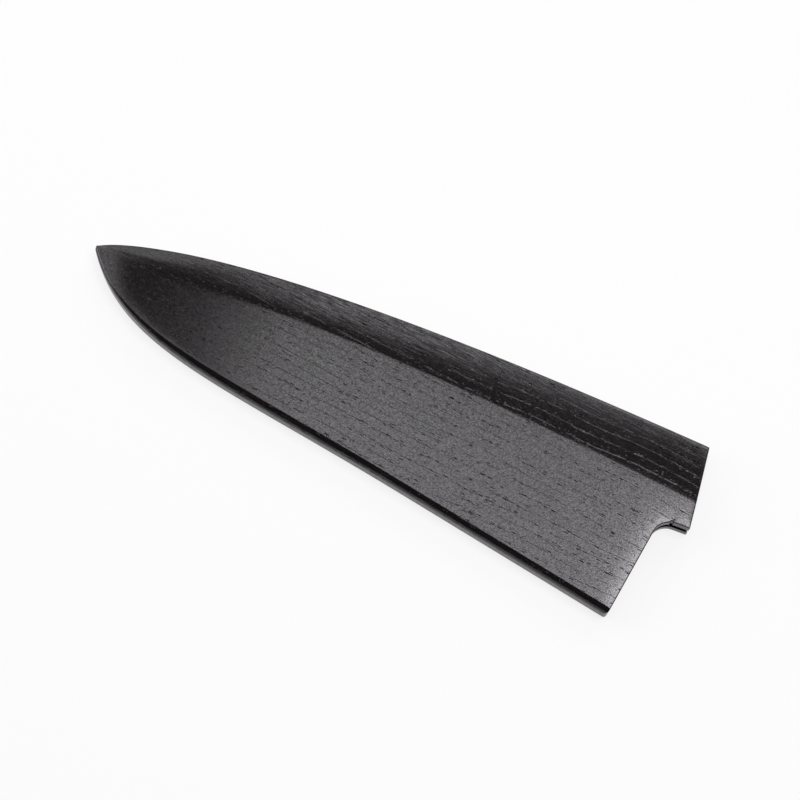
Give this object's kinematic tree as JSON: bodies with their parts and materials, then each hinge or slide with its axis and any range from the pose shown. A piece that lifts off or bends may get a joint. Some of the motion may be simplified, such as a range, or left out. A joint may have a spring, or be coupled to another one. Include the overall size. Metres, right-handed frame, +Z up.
{
  "type": "knife blade guard",
  "caption": "Wooden sheath for a chef's knife: black-stained boards glued on slim strips round a blade pocket, with a notched heel, a short neck and hidden disc magnets.",
  "frame": {"origin": "middle of the footprint, on the plane that the lower face rests on", "axes": "+X from the tip to the mouth, +Y from the edge side to the spine, +Z up through the thickness"},
  "size_m": [0.222, 0.067, 0.01],
  "materials": {
    "board_upper": "satin",
    "board_lower": "satin",
    "core_strip": "satin",
    "magnet": "polished"
  },
  "bodies": {
    "root": {"upper_board": "board_upper", "lower_board": "board_lower", "spine_strip": "core_strip", "edge_strip": "core_strip", "upper_magnet_heel": "magnet", "upper_magnet_tip": "magnet", "lower_magnet_heel": "magnet", "lower_magnet_tip": "magnet"}
  },
  "joints": []
}
